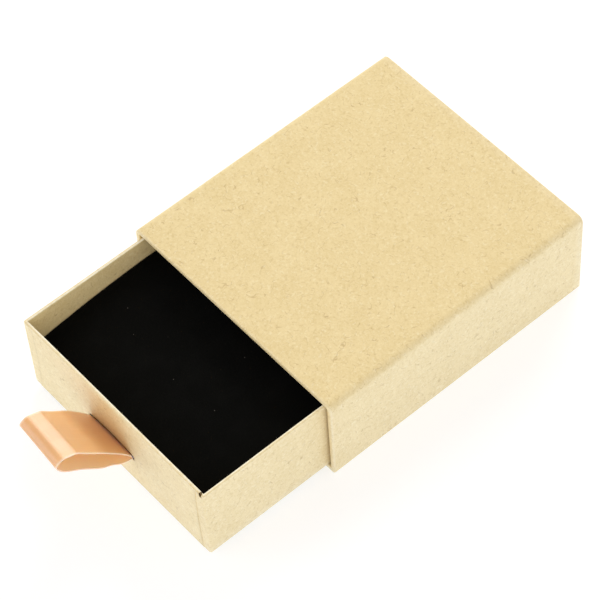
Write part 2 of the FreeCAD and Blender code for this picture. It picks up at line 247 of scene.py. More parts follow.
def solid_sheet(front, back, kept=True, fold=0.0):
    """Closed thin solid between two grids of points.

    kept says which cells are there, so that a sheet can have holes. cut is 1 at the sheet's cut
    edges, fold is given for each point of the grid, or for each row or column, and reverse is 1
    on the back.
    """
    rows, columns = front.shape[:2]
    size = rows * columns
    faces = []
    half_edges = set()
    for i, j in zip(*np.nonzero(np.broadcast_to(kept, (rows - 1, columns - 1)))):
        low = i * columns + j
        cell = (low, low + columns, low + columns + 1, low + 1)
        faces.append(cell)
        faces.append(tuple(size + v for v in reversed(cell)))
        half_edges.update(zip(cell, cell[1:] + cell[:1]))
    cut = np.zeros(2 * size)
    for a, b in sorted(half_edges):
        if (b, a) not in half_edges:
            faces.append((b, a, size + a, size + b))
            cut[[a, b, size + a, size + b]] = 1.0
    fold = np.tile(np.broadcast_to(fold, (rows, columns)).ravel(), 2)
    reverse = np.repeat([0.0, 1.0], size)
    used = np.unique(faces)
    vertices = np.concatenate([front.reshape(-1, 3), back.reshape(-1, 3)])[used]
    faces = np.searchsorted(used, faces)
    if six_volumes(vertices, faces) < 0:
        faces = faces[:, ::-1]
    return Solid(vertices, faces.tolist(), cut[used], fold[used], reverse[used])


def six_volumes(vertices, faces):
    """Six times the volume in four-sided faces, negative where they are turned inward."""
    a, b, c, d = (vertices[faces[:, corner]] for corner in range(4))
    return (a * (np.cross(b, c) + np.cross(c, d))).sum()


def mirrored(solid, axis, about=0.0):
    """The solid's mirror image across a plane square to an axis."""
    vertices = solid.vertices.copy()
    vertices[:, axis] = 2 * about - vertices[:, axis]
    return solid._replace(vertices=vertices, faces=[face[::-1] for face in solid.faces])


def waved(solid, low, high):
    """The solid with its paper gently waved, kept between the two corners of its space."""
    moved = [
        Vector(v) + noise.noise_vector(Vector(v) / PAPER_WAVE_LENGTH) * PAPER_WAVE
        for v in solid.vertices
    ]
    return solid._replace(vertices=np.clip(np.array(moved), low, high))


def mesh_object(name, *solids, sharp_angle=SHARP_ANGLE):
    """Smooth-shaded mesh object from one or more solids, with its sharp edges kept."""
    vertices = []
    faces = []
    for solid in solids:
        faces.extend([len(vertices) + v for v in face] for face in solid.faces)
        vertices.extend(solid.vertices.tolist())
    mesh = bpy.data.meshes.new(name)
    mesh.from_pydata(vertices, [], faces)
    for key in ("cut", "fold", "reverse"):
        values = np.concatenate([getattr(solid, key) for solid in solids])
        stored = mesh.attributes.new(key, "FLOAT", "POINT")
        stored.data.foreach_set("value", values.astype(np.float32))
    mesh.shade_smooth()
    mesh.set_sharp_from_angle(angle=math.radians(sharp_angle))
    piece = bpy.data.objects.new(name, mesh)
    bpy.context.scene.collection.objects.link(piece)
    return piece


# Folded profiles ------------------------------------------------------------------------------

def folded(path, thickness):
    """A fold's profile: points with their hidden partners, the paper's thickness to the right."""
    points = np.array(path)
    along = np.gradient(points, axis=0)
    along /= np.linalg.norm(along, axis=1)[:, None]
    right = np.stack([along[:, 1], -along[:, 0]], axis=1)
    return points, points + right * thickness


def fold_marks(path):
    """1 where a profile turns and 0 where it is straight."""
    run = np.diff(np.array(path), axis=0)
    angle = np.unwrap(np.arctan2(run[:, 1], run[:, 0]))
    turn = np.abs(np.diff(angle, prepend=angle[0], append=angle[-1]))
    turn = np.concatenate([[0], np.maximum(turn[:-1], turn[1:])])
    return np.minimum(1.0, turn / FULL_FOLD_TURN)


def path_with_bends(corners, radii):
    """Points along straight runs between corners, each corner rounded by its own radius. A
    corner with no radius is a plain stop on the way."""
    path = [tuple(corners[0])]
    for last, corner, following, radius in zip(corners, corners[1:], corners[2:], radii):
        if radius == 0:
            path.extend(run_points(path[-1], corner)[1:])
            continue
        corner = np.array(corner)
        to_last = unit(np.array(last) - corner)
        to_next = unit(np.array(following) - corner)
        half = math.acos(np.clip(to_last @ to_next, -1, 1)) / 2
        start = corner + to_last * radius / math.tan(half)
        end = corner + to_next * radius / math.tan(half)
        centre = corner + unit(to_last + to_next) * radius / math.sin(half)
        path.extend(run_points(path[-1], start)[1:])
        sweep = math.pi - 2 * half
        for step in range(1, FOLD_STEPS + 1):
            share = step / FOLD_STEPS
            from_start = math.sin((1 - share) * sweep) / math.sin(sweep)
            from_end = math.sin(share * sweep) / math.sin(sweep)
            path.append(tuple(centre + (start - centre) * from_start + (end - centre) * from_end))
    path.extend(run_points(path[-1], corners[-1])[1:])
    return path


def run_points(start, end):
    """Points from start to end, evenly spaced but for a short step at each end."""
    length = math.dist(start, end)
    stops = steps(0, length)
    if length > 3 * FOLD_REACH:
        stops = [0] + steps(FOLD_REACH, length - FOLD_REACH) + [length]
    start = np.array(start)
    return [tuple(start + (np.array(end) - start) * stop / length) for stop in stops]


def swept(across, profile):
    """Grid of points from a profile in (y, z), moved to each x."""
    return np.array([[(x, y, z) for y, z in profile] for x in across])


def ring(station, inset, half, low, high, radii):
    """Point on a rounded rectangle taken in by an inset.

    half is half its width, low and high are its ends, and radii are those of its low and high
    corners. A station is (part, share), the share of the way along a part. Parts 0, 2, 4 and 6
    are the corners, anticlockwise from the lower right one, and 1, 3, 5 and 7 are the sides that
    follow them.
    """
    part, share = station

    def on_corner(number, turn):
        side = (1, 1, -1, -1)[number]
        upper = number in (1, 2)
        radius = max(radii[upper] - inset, SHARPEST_RADIUS)
        centre_x = side * (half - inset - radius)
        centre_y = high - inset - radius if upper else low + inset + radius
        angle = math.radians(90 * (number - 1 + turn))
        return (centre_x + radius * math.cos(angle), centre_y + radius * math.sin(angle))

    number, on_side = divmod(part, 2)
    if not on_side:
        return on_corner(number, share)
    a = on_corner(number, 1)
    b = on_corner((number + 1) % 4, 0)
    return (a[0] + (b[0] - a[0]) * share, a[1] + (b[1] - a[1]) * share)


def ring_grids(stations, profiles, outline, axis):
    """A grid of points for each profile in (inset, distance along an axis), carried round a
    rounded rectangle square to that axis, with a row for each station."""
    grids = []
    for profile in profiles:
        flat = np.array([[ring(s, inset, *outline) for inset in profile[:, 0]] for s in stations])
        grids.append(np.insert(flat, axis, profile[:, 1], axis=2))
    return grids


def corner_round(number, count=CORNER_STEPS):
    """Stations round one corner, with both its ends."""
    return [(2 * number, k / count) for k in range(count + 1)]


def side_run(number, shares):
    """Stations along the side that follows a corner."""
    return [(2 * number + 1, share) for share in shares]


# Sleeve's papers ------------------------------------------------------------------------------

SLEEVE_LOW, SLEEVE_HIGH = np.array(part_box("sleeve_wrap"))
SLEEVE_HALF = SLEEVE_HIGH[0]
SLEEVE_TOP = SLEEVE_HIGH[2]
SLEEVE_OUTLINE = (SLEEVE_HALF, 0, SLEEVE_TOP, (SLEEVE_FOOT_ROUND, SLEEVE_TOP_BEND))
MOUTH_Y = SLEEVE_LOW[1]
BACK_FOLD_Y = SLEEVE_HIGH[1]
SEAM_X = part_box("sleeve_base_sheet")[1][0]


def sleeve_stations():
    """Stations round the sleeve's section, from one side of the sheet under it to the other."""
    underside = SLEEVE_HALF - SEAM_X - PAPER_SEAM_GAP - SLEEVE_FOOT_ROUND
    under_share = underside / (2 * (SLEEVE_HALF - SLEEVE_FOOT_ROUND))
    under_step = under_share / SLEEVE_UNDER_STEPS
    side_shares = steps(0, 1, longest=GRID_STEP / SLEEVE_TOP)
    top_shares = steps(0, 1, longest=GRID_STEP / (2 * SLEEVE_HALF))
    return (
        side_run(3, steps(1 - under_share, 1, longest=under_step)[:-1])
        + corner_round(0)
        + side_run(0, side_shares[1:-1])
        + corner_round(1, TOP_BEND_STEPS)
        + side_run(1, top_shares[1:-1])
        + corner_round(2, TOP_BEND_STEPS)
        + side_run(2, side_shares[1:-1])
        + corner_round(3)
        + side_run(3, steps(0, under_share, longest=under_step)[1:])
    )


def sleeve_wrap_paper():
    """Paper on the sleeve: round its section, over the mouth's edge and turned in, and folded
    onto the back."""
    path = path_with_bends(
        [
            (SLEEVE_BACK_FOLD, BACK_FOLD_Y),
            (0, BACK_FOLD_Y),
            (0, MOUTH_Y),
            (SLEEVE_WALL, MOUTH_Y),
            (SLEEVE_WALL, MOUTH_Y + SLEEVE_TURN_IN),
        ],
        [MOUTH_FOLD_RADIUS] * 3,
    )
    profiles = folded(path, -SLEEVE_PAPER)
    outside, hidden = ring_grids(sleeve_stations(), profiles, SLEEVE_OUTLINE, Y)
    # Folds painted paler, partly as rubbing and partly as a painted highlight
    fold = fold_marks(path) * OUTER_RUB_AND_HIGHLIGHT
    solid = solid_sheet(outside[:, ::-1], hidden[:, ::-1], fold=fold[::-1])
    piece = mesh_object("sleeve_wrap_paper", waved(solid, SLEEVE_LOW, SLEEVE_HIGH))
    dress(piece, "sleeve", "kraft_paper", "sleeve_wrap")


def sleeve_base_paper():
    """Sheet under the sleeve, turned round the mouth's lower edge onto the floor inside, and
    up the back under the back sheet, where its ends taper as the wrap's folds do."""
    low, high = np.array(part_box("sleeve_base_sheet"))
    top = SLEEVE_BACK_FOLD / 2
    path = path_with_bends(
        [
            (BACK_FOLD_Y, top),
            (BACK_FOLD_Y, low[2]),
            (low[1], low[2]),
            (low[1], high[2]),
            (low[1] + SLEEVE_TURN_IN, high[2]),
        ],
        [MOUTH_FOLD_RADIUS] * 3,
    )
    outside, hidden = folded(path, SLEEVE_PAPER)
    at_back = outside[:, 0] > (BACK_FOLD_Y + MOUTH_Y) / 2
    taper = 1 - np.where(at_back, outside[:, 1], 0) / SLEEVE_HALF
    grids = [swept(steps(low[0], high[0]), profile) for profile in (outside, hidden)]
    for grid in grids:
        grid[..., 0] *= taper
    high = (high[0], BACK_FOLD_Y, top)
    piece = mesh_object("sleeve_base_paper", waved(solid_sheet(*grids), low, high))
    dress(piece, "sleeve", "kraft_paper", "sleeve_base_sheet")


def sleeve_back_sheet():
    """Sheet on the back over the folds, whose edges show through it as a faint step."""
    low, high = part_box("sleeve_back_paper")
    inset = SLEEVE_BACK_FOLD - (SLEEVE_HALF - high[0])
    across = steps(low[0], low[0] + inset, high[0] - inset, high[0], longest=FINE_STEP)
    upward = steps(low[2], high[2] - inset, high[2], longest=FINE_STEP)
    face = swept(across, [(high[1], z) for z in upward])
    to_edge = np.minimum(high[0] - np.abs(face[..., 0]), high[2] - face[..., 2])
    face[..., 1] -= BACK_STEP_DEPTH * smooth_share((to_edge - inset) / BACK_STEP_WIDTH + 0.5)
    solid = solid_sheet(face, face - np.array((0, SLEEVE_PAPER, 0)))
    piece = mesh_object("sleeve_back_sheet", waved(solid, low, high))
    dress(piece, "sleeve", "kraft_paper", "sleeve_back_paper")


# Tray's papers and front board ----------------------------------------------------------------

TRAY_LOW, TRAY_HIGH = np.array(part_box("tray_wrap"))
PANEL_LOW, PANEL_HIGH = np.array(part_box("tray_front_paper"))
BOARD_LOW, BOARD_HIGH = np.array(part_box("tray_front_wall"))
TRAY_HALF = TRAY_HIGH[0]
TRAY_BOTTOM = TRAY_LOW[2]
TRAY_RIM = TRAY_HIGH[2]
TRAY_MIDDLE_Y = (TRAY_LOW[1] + TRAY_HIGH[1]) / 2
TRAY_OUTLINE = (TRAY_HALF, TRAY_LOW[1], TRAY_HIGH[1], (TRAY_CORNER_ROUND, TRAY_CORNER_ROUND))
TRAY_TAB_X = TRAY_HALF - TRAY_CORNER_TAB
END_FACE_HALF = TRAY_HALF - SEAM_INSET_TOP
NOTCH_INNER_X = PANEL_HIGH[0]
NOTCH_OUTER_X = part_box("tray_right_wall")[0][0] - TRAY_PAPER
NOTCH_Z = TRAY_RIM - NOTCH_DEPTH
BOARD_GAP_X = NOTCH_OUTER_X - BOARD_GAP_WIDTH
BOARD_GAP_Z = TRAY_RIM - BOARD_GAP_DEPTH
RIBBON_LOW, RIBBON_HIGH = np.array(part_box("ribbon_tails"))
RIBBON_HALF = (RIBBON_HIGH[0] - RIBBON_LOW[0]) / 2
SLIT_X = (RIBBON_LOW[0] + RIBBON_HIGH[0]) / 2
SLIT_Z = TRAY_BOTTOM + SLIT_ABOVE_TRAY_BOTTOM
SLIT_HALF = RIBBON_HALF + SLIT_SIDE_CLEARANCE
SLIT_SIDES = (SLIT_X - SLIT_HALF, SLIT_X + SLIT_HALF)
SLIT_FOOT = SLIT_Z - SLIT_HEIGHT / 2
SLIT_HEAD = SLIT_Z + SLIT_HEIGHT / 2


def slit_arch(x):
    """How far the slit stands above its two ends."""
    share = np.clip(np.abs(np.asarray(x) - SLIT_X) / SLIT_HALF, 0, 1)
    return SLIT_RISE * (1 - share ** 2)


def around_slit(x, z):
    """Heights near the slit moved so that level rows follow its arch, the lower ones less."""
    away = np.maximum(np.abs(z - SLIT_Z) - SLIT_HEIGHT / 2, 0)
    share = np.where(z > SLIT_Z, 1, RIBBON_ARCH)
    return z + slit_arch(x) * share * (1 - smooth_share(away / SLIT_REACH))


def slit_cells(across, heights, foot=SLIT_FOOT):
    """Which cells of an end sheet or board lie in the slit, down to its foot."""
    x = middles(across)
    z = middles(heights)
    return (np.abs(x - SLIT_X) < SLIT_HALF)[:, None] & (z > foot) & (z < SLIT_HEAD)


def side_stations():
    """Stations along one side of the tray, with its tabs round both corners."""
    flat_half = TRAY_HALF - TRAY_CORNER_ROUND
    stops = steps(TRAY_TAB_X, NOTCH_INNER_X, NOTCH_OUTER_X, flat_half)
    tab_shares = [(x + flat_half) / (2 * flat_half) for x in stops]
    length = TRAY_HIGH[1] - TRAY_LOW[1]
    return (
        side_run(3, tab_shares[:-1])
        + corner_round(0)
        + side_run(0, steps(0, 1, longest=GRID_STEP / length)[1:-1])
        + corner_round(1)
        + side_run(1, [1 - share for share in reversed(tab_shares)][1:])
    )


def side_cells(stations, outside, notch):
    """Which cells of a side's paper are there. Its tabs stop at the rim, or at the notch."""
    x = middles([ring(station, 0, *TRAY_OUTLINE)[0] for station in stations])
    on_tab = x < NOTCH_OUTER_X
    turned = outside[:-1, 0] > LENGTH_TOLERANCE
    above = outside[:-1, 1] > TRAY_RIM - TRAY_PAPER
    inside = np.arange(len(turned)) > np.argmax(outside[:, 1])
    dropped = on_tab[:, None] & ((turned & above) | inside)
    if notch:
        in_notch = (x > NOTCH_INNER_X) & on_tab
        dropped |= in_notch[:, None] & (outside[:-1, 1] > NOTCH_Z - LENGTH_TOLERANCE)
    return ~dropped


def tray_side(notch):
    """Paper of one side: up the outside, over the rim, down the inside, and round the corners
    as tabs that the end sheets cover. Its folds are painted paler, most at the rim's inner edge,
    partly as rubbing and partly as a painted highlight."""
    inner = TRAY_HALF - NOTCH_OUTER_X
    path = path_with_bends(
        [
            (2 * RIM_FOLD_RADIUS, TRAY_BOTTOM),
            (0, TRAY_BOTTOM),
            (0, NOTCH_Z),
            (0, TRAY_RIM),
            (inner, TRAY_RIM),
            (inner, TRAY_RIM - TRAY_TURN_IN),
        ],
        [RIM_FOLD_RADIUS, 0, RIM_FOLD_RADIUS, RIM_FOLD_RADIUS],
    )
    outside, hidden = folded(path, TRAY_PAPER)
    near_rim = np.clip(1 - (TRAY_RIM - outside[:, 1]) / RIM_FOLD_RADIUS, 0, 1)
    # Folds painted paler, most at the rim's inner edge: partly rubbing, partly a painted
    # highlight
    fold = fold_marks(path) * np.where(outside[:, 0] > inner / 2, near_rim, OUTER_RUB_AND_HIGHLIGHT)
    stations = side_stations()
    grids = ring_grids(stations, (outside, hidden), TRAY_OUTLINE, Z)
    return solid_sheet(*grids, kept=side_cells(stations, outside, notch), fold=fold)


def tray_wrap_paper():
    """Both sides of the tray and the sheet under it."""
    half = TRAY_HALF - 2 * RIM_FOLD_RADIUS
    across = steps(-half, half)
    along = steps(TRAY_LOW[1], TRAY_HIGH[1])
    face = np.array([[(x, y, TRAY_BOTTOM) for x in across] for y in along])
    under = solid_sheet(face, face + np.array((0, 0, TRAY_PAPER)))
    solids = (tray_side(notch=True), mirrored(tray_side(notch=False), X), under)
    solids = [waved(solid, TRAY_LOW, TRAY_HIGH) for solid in solids]
    piece = mesh_object("tray_wrap_paper", *solids)
    dress(piece, "drawer", "kraft_paper", "tray_wrap")


def seam_shift(grid):
    """How far an end sheet's points move sideways, mostly by its upright edges: outward near
    the foot, and inward halfway down."""
    share = np.clip(grid[..., 0] / END_FACE_HALF, -1, 1)
    fallen = (TRAY_RIM - grid[..., 2]) / (TRAY_RIM - TRAY_BOTTOM)
    spread = (SEAM_INSET_TOP - SEAM_INSET_FOOT) * fallen
    spread -= SEAM_BOW * 4 * fallen * (1 - fallen)
    return share ** SEAM_SPREAD_POWER * spread


def end_sheet(name, slit, node):
    """Sheet on one end of the tray, over the tabs and the rim and down inside. It is narrower
    on the face than on the rim, and its upright edges are a little bowed. On the right it stops
    short of the corner, which leaves a notch in the rim."""
    face_y = PANEL_LOW[1]
    inner_y = PANEL_HIGH[1]
    bend_z = TRAY_RIM - RIM_FOLD_RADIUS
    heights = steps(TRAY_BOTTOM, SLIT_FOOT, SLIT_HEAD, bend_z, longest=FINE_STEP)
    bend = path_with_bends(
        [
            (face_y, bend_z - BEND_LEAD_IN),
            (face_y, TRAY_RIM),
            (inner_y, TRAY_RIM),
            (inner_y, TRAY_RIM - TRAY_TURN_IN),
        ],
        [RIM_FOLD_RADIUS] * 2,
    )
    path = [(face_y, z) for z in heights[:-1]] + bend[1:]
    outside, hidden = folded(path, TRAY_PAPER)
    on_face = np.arange(len(path)) < len(heights)
    across = steps(-END_FACE_HALF, *SLIT_SIDES, END_FACE_HALF, longest=FINE_STEP)
    across = [-NOTCH_OUTER_X] + across + [NOTCH_INNER_X]
    grids = [swept(across, profile) for profile in (outside, hidden)]
    for grid in grids:
        shift = seam_shift(grid) * on_face
        shift[[0, -1]] = 0
        grid[..., 0] += shift
        if slit:
            grid[..., 2] = around_slit(grid[..., 0], grid[..., 2])
    kept = np.ones((len(across) - 1, len(path) - 1), bool)
    kept[[0, -1], : len(heights) - 1] = False
    if slit:
        kept &= ~slit_cells(across, [z for _, z in path])
    on_inner_side = outside[:, 0] > (face_y + inner_y) / 2
    # Folds painted paler, most on the inner side: partly rubbing, partly a painted highlight
    fold = fold_marks(path) * np.where(on_inner_side, 1, OUTER_RUB_AND_HIGHLIGHT)
    low = (TRAY_LOW[0], face_y, PANEL_LOW[2])
    high = (TRAY_HIGH[0], inner_y, PANEL_HIGH[2])
    solid = waved(solid_sheet(*grids, kept=kept, fold=fold), low, high)
    if not slit:
        solid = mirrored(solid, Y, TRAY_MIDDLE_Y)
    dress(mesh_object(name, solid), "drawer", "kraft_paper", node)


def tray_front_board():
    """Front wall's board, with the gap at its right end, under the papers' notch, and the
    arched slit."""
    half = BOARD_HIGH[0]
    foot = SLIT_FOOT - BOARD_SLIT_DROP
    across = steps(-half, *SLIT_SIDES, BOARD_GAP_X, NOTCH_OUTER_X, half, longest=FINE_STEP)
    heights = steps(BOARD_LOW[2], foot, SLIT_HEAD, BOARD_GAP_Z, BOARD_HIGH[2], longest=FINE_STEP)
    face = swept(across, [(BOARD_LOW[1], z) for z in heights])
    face[..., 2] = around_slit(face[..., 0], face[..., 2])
    back = face + np.array((0, BOARD_HIGH[1] - BOARD_LOW[1], 0))
    x = middles(across)
    gap = ((x > BOARD_GAP_X) & (x < NOTCH_OUTER_X))[:, None] & (middles(heights) > BOARD_GAP_Z)
    kept = ~(slit_cells(across, heights, foot) | gap)
    piece = mesh_object("tray_front_board", solid_sheet(face, back, kept=kept))
    dress(piece, "drawer", "greyboard", "tray_front_wall")


# Insert ---------------------------------------------------------------------------------------

def soft_edged(start, end):
    """Numbers from start to end, closer together at both ends, where the pad's edge is soft."""
    near_edge = [PAD_EDGE_RADIUS * (1 - math.cos(math.radians(a))) for a in PAD_EDGE_ANGLES]
    inner = steps(start + PAD_EDGE_RADIUS, end - PAD_EDGE_RADIUS)
    return [start + f for f in near_edge] + inner + [end - f for f in reversed(near_edge)]


def insert_pad():
    """Flocked foam block: its top arches from end to end, with soft edges, and is a little
    uneven, as flocked foam is."""
    low, high = np.array(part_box("insert_foam"))
    flock_low, flock_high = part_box("insert_flock_sheet")
    crown_z = flock_high[2]
    rise = crown_z - (flock_low[2] + FLOCK_THICKNESS)
    half_length = (high[1] - low[1]) / 2
    middle_y = (high[1] + low[1]) / 2
    arch_radius = (half_length ** 2 + rise ** 2) / (2 * rise)
    across = soft_edged(low[0], high[0])
    along = soft_edged(low[1], high[1])
    top = np.array([[(x, y, 0.0) for x in across] for y in along])
    sunk = np.sqrt(arch_radius ** 2 - (top[..., 1] - middle_y) ** 2) - arch_radius
    for axis in (X, Y):
        inset = np.minimum(top[..., axis] - low[axis], high[axis] - top[..., axis])
        short = np.clip(1 - inset / PAD_EDGE_RADIUS, 0, 1)
        sunk -= PAD_EDGE_RADIUS * (1 - np.sqrt(1 - short ** 2))
    bumps = np.array([
        [noise.noise(Vector(p) / PAD_UNEVEN_LENGTH) - 1 for p in row] for row in top
    ])
    top[..., 2] = crown_z + sunk + PAD_UNEVEN * bumps / 2
    foot = top.copy()
    foot[..., 2] = low[2]
    piece = mesh_object("insert_pad", solid_sheet(foot, top), sharp_angle=PAD_SHARP_ANGLE)
    dress(piece, "drawer", "flock", "insert_foam", "insert_flock_sheet")


# Ribbon ---------------------------------------------------------------------------------------

def smooth_through(points):
    """Closely spaced points on a smooth curve through the given ones (a Catmull-Rom spline)."""
    points = np.array(points)
    padded = np.concatenate([[2 * points[0] - points[1]], points, [2 * points[-1] - points[-2]]])

    def between(a, b, start, end, t):
        return a + (b - a) * (t - start) / (end - start)

    curve = []
    for p0, p1, p2, p3 in zip(padded, padded[1:], padded[2:], padded[3:]):
        t1 = math.sqrt(math.dist(p0, p1))
        t2 = t1 + math.sqrt(math.dist(p1, p2))
        t3 = t2 + math.sqrt(math.dist(p2, p3))
        for t in np.linspace(t1, t2, RIBBON_CURVE_STEPS, endpoint=False):
            a = between(p0, p1, 0, t1, t)
            b = between(p1, p2, t1, t2, t)
            c = between(p2, p3, t2, t3, t)
            ab = between(a, b, 0, t2, t)
            bc = between(b, c, t1, t3, t)
            curve.append(between(ab, bc, t1, t2, t))
    curve.append(points[-1])
    return np.array(curve)


def ribbon_edge(up, back):
    """Line of one edge of the ribbon, (out, up) from the slit's front in mm: from the end of
    one tail, through the slit, round the loop and back to the end of the other tail."""
    wall = (PANEL_LOW[1] - BOARD_HIGH[1]) / MM
    layer = RIBBON_THICKNESS / MM
    inner_tail = wall - INNER_TAIL * layer
    outer_tail = wall - OUTER_TAIL * layer
    tail_end = (RIBBON_LOW[2] - SLIT_Z) / MM + TAIL_SHORTER
    lower_run = (SLIT_FOOT - SLIT_Z) / MM + LOWER_RUN * layer
    upper_run = lower_run + UPPER_RUN * layer
    into = [
        (inner_tail, tail_end), (inner_tail, -INNER_TAIL_DROP),
        (wall + RUN_END, upper_run), (-RUN_START, upper_run), (0.0, 0.0),
    ]
    out_of = [
        (-RUN_START, lower_run), (wall + RUN_END, lower_run),
        (outer_tail, -OUTER_TAIL_DROP), (outer_tail, tail_end),
    ]
    return smooth_through(into + up + back + out_of)


def ribbon_middle(shares):
    """Middle of the ribbon's thickness, with a row for each share of the way from its far edge
    to its near one. It arches across where it leaves the slit."""
    near = ribbon_edge(NEAR_EDGE_UP, NEAR_EDGE_BACK)
    far = ribbon_edge(FAR_EDGE_UP, FAR_EDGE_BACK)
    rows = []
    for share in shares:
        out, up = ((far + (near - far) * share) * MM).T
        x = SLIT_X + RIBBON_HALF * (2 * share - 1)
        fade = 1 - smooth_share((out - ARCH_FADE_START) / ARCH_FADE_LENGTH)
        fade_in = smooth_share((out + ARCH_INNER_START) / ARCH_INNER_LENGTH)
        lift = RIBBON_ARCH * slit_arch(x) * fade * fade_in
        row = [np.full(len(out), x), PANEL_LOW[1] - out, SLIT_Z + up + lift]
        rows.append(np.stack(row, axis=1))
    return np.array(rows)


def ribbon_pull():
    """Satin ribbon, both ends through the slit: a loop creased at its shoulder and folded at
    its tip."""
    shares = np.concatenate([RIBBON_EDGE_ROWS, RIBBON_ROWS, 1 - RIBBON_EDGE_ROWS[::-1]])
    middle = ribbon_middle(shares)
    normal = np.cross(np.gradient(middle, axis=1), np.gradient(middle, shares, axis=0))
    normal /= np.linalg.norm(normal, axis=2)[..., None]
    selvedge = smooth_share((np.abs(2 * shares - 1) - SELVEDGE_START) / SELVEDGE_BLEND)[:, None]
    half = (RIBBON_THICKNESS / 2 * (1 + SELVEDGE_EXTRA * selvedge))[..., None]
    solid = solid_sheet(middle + normal * half, middle - normal * half, fold=selvedge)
    piece = mesh_object("ribbon_pull", solid, sharp_angle=RIBBON_SHARP_ANGLE)
    piece.data.materials.append(MATERIALS["satin_ribbon"])
    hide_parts("ribbon_loop", "ribbon_tails")
    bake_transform(piece)


# Materials ------------------------------------------------------------------------------------

def colour(red, green, blue):
    """Linear colour from an sRGB one."""
    values = [v / 255 for v in (red, green, blue)]
    return [v / 12.92 if v <= 0.04045 else ((v + 0.055) / 1.055) ** 2.4 for v in values] + [1]


# Most of a noise's values lie between these two
NOISE_LOW = 0.3
NOISE_HIGH = 0.7

KRAFT_DARK = colour(227, 204, 147)
KRAFT_LIGHT = colour(243, 223, 172)
# Paler colour of the folds: partly rubbed paper, partly a painted highlight
KRAFT_RUBBED_AND_HIGHLIGHT = colour(255, 248, 224)
# Painted shade along the papers' cut edges, as where a paper's edge steps down at a seam
KRAFT_EDGE_SHADE = colour(205, 182, 132)

# Kraft paper's fibres: size, turn, thickness, colour and strength
KRAFT_FIBRES = (
    (2.2 * MM, 0.4, 0.060, colour(207, 180, 124), 0.38),
    (1.7 * MM, 1.9, 0.060, colour(252, 240, 205), 0.42),
    (4.3 * MM, 1.1, 0.014, colour(174, 139, 86), 0.45),
)

BOARD_DARK = colour(150, 130, 98)
BOARD_LIGHT = colour(184, 164, 128)
BOARD_FLECK = colour(92, 82, 68)
# Painted shade on the board's cut edges, seen in the slit and the gap
BOARD_CUT_SHADE = colour(104, 72, 40)

FLOCK_DARK = colour(2, 2, 1)
FLOCK_LIGHT = colour(10, 10, 8)
FLOCK_BRUSHED = colour(15, 15, 13)
FLOCK_LINT = colour(78, 74, 68)

SATIN_DARK = colour(226, 164, 101)
SATIN_LIGHT = colour(232, 171, 110)
# The back, inside the loop, is painted paler: painted light, for light glowing through the satin
SATIN_BACK_GLOW_DARK = colour(255, 202, 166)
SATIN_BACK_GLOW_LIGHT = colour(255, 208, 173)
SATIN_SELVEDGE = colour(246, 208, 182)


class Nodes:
    """Short ways to add nodes to a material or world."""

    def __init__(self, owner):
        self.owner = owner
        owner.use_nodes = True
        self.tree = owner.node_tree

    def add(self, kind, inputs=(), **settings):
        node = self.tree.nodes.new(kind)
        for key, value in settings.items():
            setattr(node, key, value)
        for key, value in dict(inputs).items():
            self.plug(node.inputs[key], value)
        return node

    def plug(self, socket, value):
        if isinstance(value, bpy.types.NodeSocket):
            self.tree.links.new(value, socket)
        else:
            socket.default_value = value

    def result(self, kind, *values, **settings):
        """A new node's first output, with the values plugged into its inputs in order."""
        return self.add(kind, enumerate(values), **settings).outputs[0]

    def maths(self, operation, *values):
        return self.result("ShaderNodeMath", *values, operation=operation)

    def mix(self, factor, a, b):
        return self.result("ShaderNodeMixRGB", factor, a, b)

    def noise(self, vector, size, detail=2.0, roughness=0.5, distortion=0.0):
        inputs = {
            "Vector": vector, "Scale": 1 / size, "Detail": detail,
            "Roughness": roughness, "Distortion": distortion,
        }
        return self.add("ShaderNodeTexNoise", inputs).outputs["Fac"]

    def ramp(self, factor, low, high, to_low=0.0, to_high=1.0):
        inputs = {
            "Value": factor, "From Min": low, "From Max": high, "To Min": to_low,
            "To Max": to_high,
        }
        return self.add("ShaderNodeMapRange", inputs).outputs["Result"]

    def spread(self, noise_value, to_low=0.0, to_high=1.0):
        """A noise stretched so that most of it fills the new range."""
        return self.ramp(noise_value, NOISE_LOW, NOISE_HIGH, to_low, to_high)

    def stretched(self, vector, scale, turn=(0.0, 0.0, 0.0)):
        node = self.add("ShaderNodeMapping", {"Vector": vector, "Rotation": turn, "Scale": scale})
        return node.outputs["Vector"]

    def bumped(self, height, distance, strength=1.0, normal=None):
        inputs = {"Height": height, "Distance": distance, "Strength": strength}
        if normal is not None:
            inputs["Normal"] = normal
        return self.add("ShaderNodeBump", inputs).outputs["Normal"]

    def attribute(self, name):
        return self.add("ShaderNodeAttribute", attribute_name=name).outputs["Fac"]

    def place(self):
        return self.add("ShaderNodeTexCoord").outputs["Object"]

    def finish(self, base, normal, roughness, **settings):
        """The material, with its shader's colour, bump, roughness and other sockets set."""
        shader = self.tree.nodes["Principled BSDF"]
        self.plug(shader.inputs["Base Color"], base)
        self.plug(shader.inputs["Normal"], normal)
        self.plug(shader.inputs["Roughness"], roughness)
        for key, value in settings.items():
            shader.inputs[key.replace("_", " ")].default_value = value
        return self.owner


